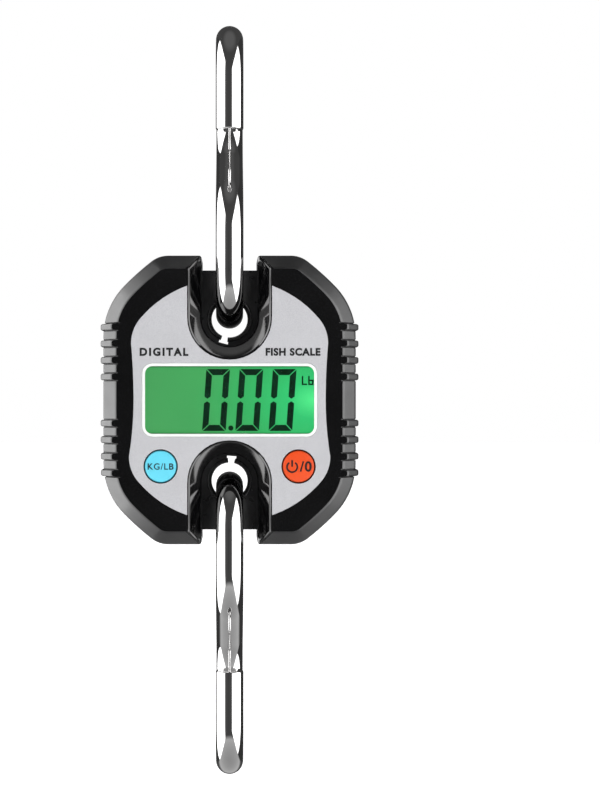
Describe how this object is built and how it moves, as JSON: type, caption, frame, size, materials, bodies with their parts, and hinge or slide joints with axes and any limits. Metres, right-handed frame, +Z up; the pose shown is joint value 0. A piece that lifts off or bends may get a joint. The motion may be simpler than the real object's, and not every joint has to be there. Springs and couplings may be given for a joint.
{
  "type": "digital hanging scale",
  "caption": "Digital hanging scale: a black ribbed case with a backlit display and round keys, hung on a steel S-hook, with another S-hook below for the load.",
  "frame": {"origin": "centre of the load cell, midway between the two hooks, which is the centre of the whole part's box", "axes": "+Z up along the load line through both hooks, front with the display faces -Y, +X to the right seen from the front"},
  "size_m": [0.085, 0.038, 0.2498],
  "materials": {
    "front_housing": "gloss",
    "rear_housing": "gloss",
    "face_panel": "satin",
    "window_frame": "gloss",
    "window_lens": "gloss",
    "lcd_gasket": "matt",
    "lcd_glass": "gloss",
    "lcd_segments": "matt",
    "lcd_backlight": "satin",
    "backlight_leds": "gloss",
    "lcd_pins": "bright",
    "main_pcb": "satin",
    "pcb_components": "satin",
    "pcb_screws": "bright",
    "unit_switch_base": "matt",
    "power_switch_base": "matt",
    "unit_switch_plunger": "satin",
    "power_switch_plunger": "satin",
    "unit_button": "gloss",
    "power_button": "gloss",
    "load_cell": "satin",
    "strain_gauges": "gloss",
    "load_cell_screws": "bright",
    "gauge_wires": "satin",
    "battery_wire_red": "satin",
    "battery_wire_black": "satin",
    "battery_upper": "gloss",
    "battery_lower": "gloss",
    "battery_springs": "bright",
    "battery_contacts": "bright",
    "battery_door": "gloss",
    "housing_screws": "bright",
    "top_eye_bush": "satin",
    "bottom_eye_bush": "satin",
    "top_hook": "bright",
    "bottom_hook": "bright"
  },
  "bodies": {
    "top_hook": {"top_hook": "top_hook"},
    "top_bush": {"top_eye_bush": "top_eye_bush"},
    "scale_body": {"front_housing": "front_housing", "rear_housing": "rear_housing", "face_panel": "face_panel", "window_frame": "window_frame", "window_lens": "window_lens", "lcd_gasket": "lcd_gasket", "lcd_glass": "lcd_glass", "lcd_segments": "lcd_segments", "lcd_backlight": "lcd_backlight", "backlight_leds": "backlight_leds", "lcd_pins": "lcd_pins", "main_pcb": "main_pcb", "pcb_components": "pcb_components", "pcb_screws": "pcb_screws", "unit_switch_base": "unit_switch_base", "power_switch_base": "power_switch_base", "load_cell": "load_cell", "strain_gauges": "strain_gauges", "load_cell_screws": "load_cell_screws", "gauge_wires": "gauge_wires", "battery_wire_red": "battery_wire_red", "battery_wire_black": "battery_wire_black", "battery_upper": "battery_upper", "battery_lower": "battery_lower", "battery_springs": "battery_springs", "battery_contacts": "battery_contacts", "housing_screws": "housing_screws"},
    "bottom_bush": {"bottom_eye_bush": "bottom_eye_bush"},
    "bottom_hook": {"bottom_hook": "bottom_hook"},
    "unit_key": {"unit_button": "unit_button", "unit_switch_plunger": "unit_switch_plunger"},
    "power_key": {"power_button": "power_button", "power_switch_plunger": "power_switch_plunger"},
    "battery_door": {"battery_door": "battery_door"}
  },
  "joints": [
    {"name": "top_hook_rock", "type": "hinge", "parent": "top_hook", "child": "top_bush", "pos_m": [0, 0, 0.04295], "axis": [1, 0, 0], "range_deg": [-60, 60]},
    {"name": "top_hook_swing", "type": "hinge", "parent": "top_bush", "child": "scale_body", "pos_m": [0, 0, 0.027], "axis": [0, 1, 0], "range_deg": [-12, 12]},
    {"name": "bottom_hook_swing", "type": "hinge", "parent": "scale_body", "child": "bottom_bush", "pos_m": [0, 0, -0.027], "axis": [0, 1, 0], "range_deg": [-12, 12]},
    {"name": "bottom_hook_rock", "type": "hinge", "parent": "bottom_bush", "child": "bottom_hook", "pos_m": [0, 0, -0.04295], "axis": [1, 0, 0], "range_deg": [-60, 60]},
    {"name": "unit_key_press", "type": "slide", "parent": "scale_body", "child": "unit_key", "axis": [0, 1, 0], "range_m": [0, 0.00035], "stiffness_N_per_m": 1500},
    {"name": "power_key_press", "type": "slide", "parent": "scale_body", "child": "power_key", "axis": [0, 1, 0], "range_m": [0, 0.00035], "stiffness_N_per_m": 1500},
    {"name": "battery_door_open", "type": "hinge", "parent": "scale_body", "child": "battery_door", "pos_m": [-0.02922, 0.01625, 0], "axis": [0, 0, 1], "range_deg": [0, 90]}
  ]
}
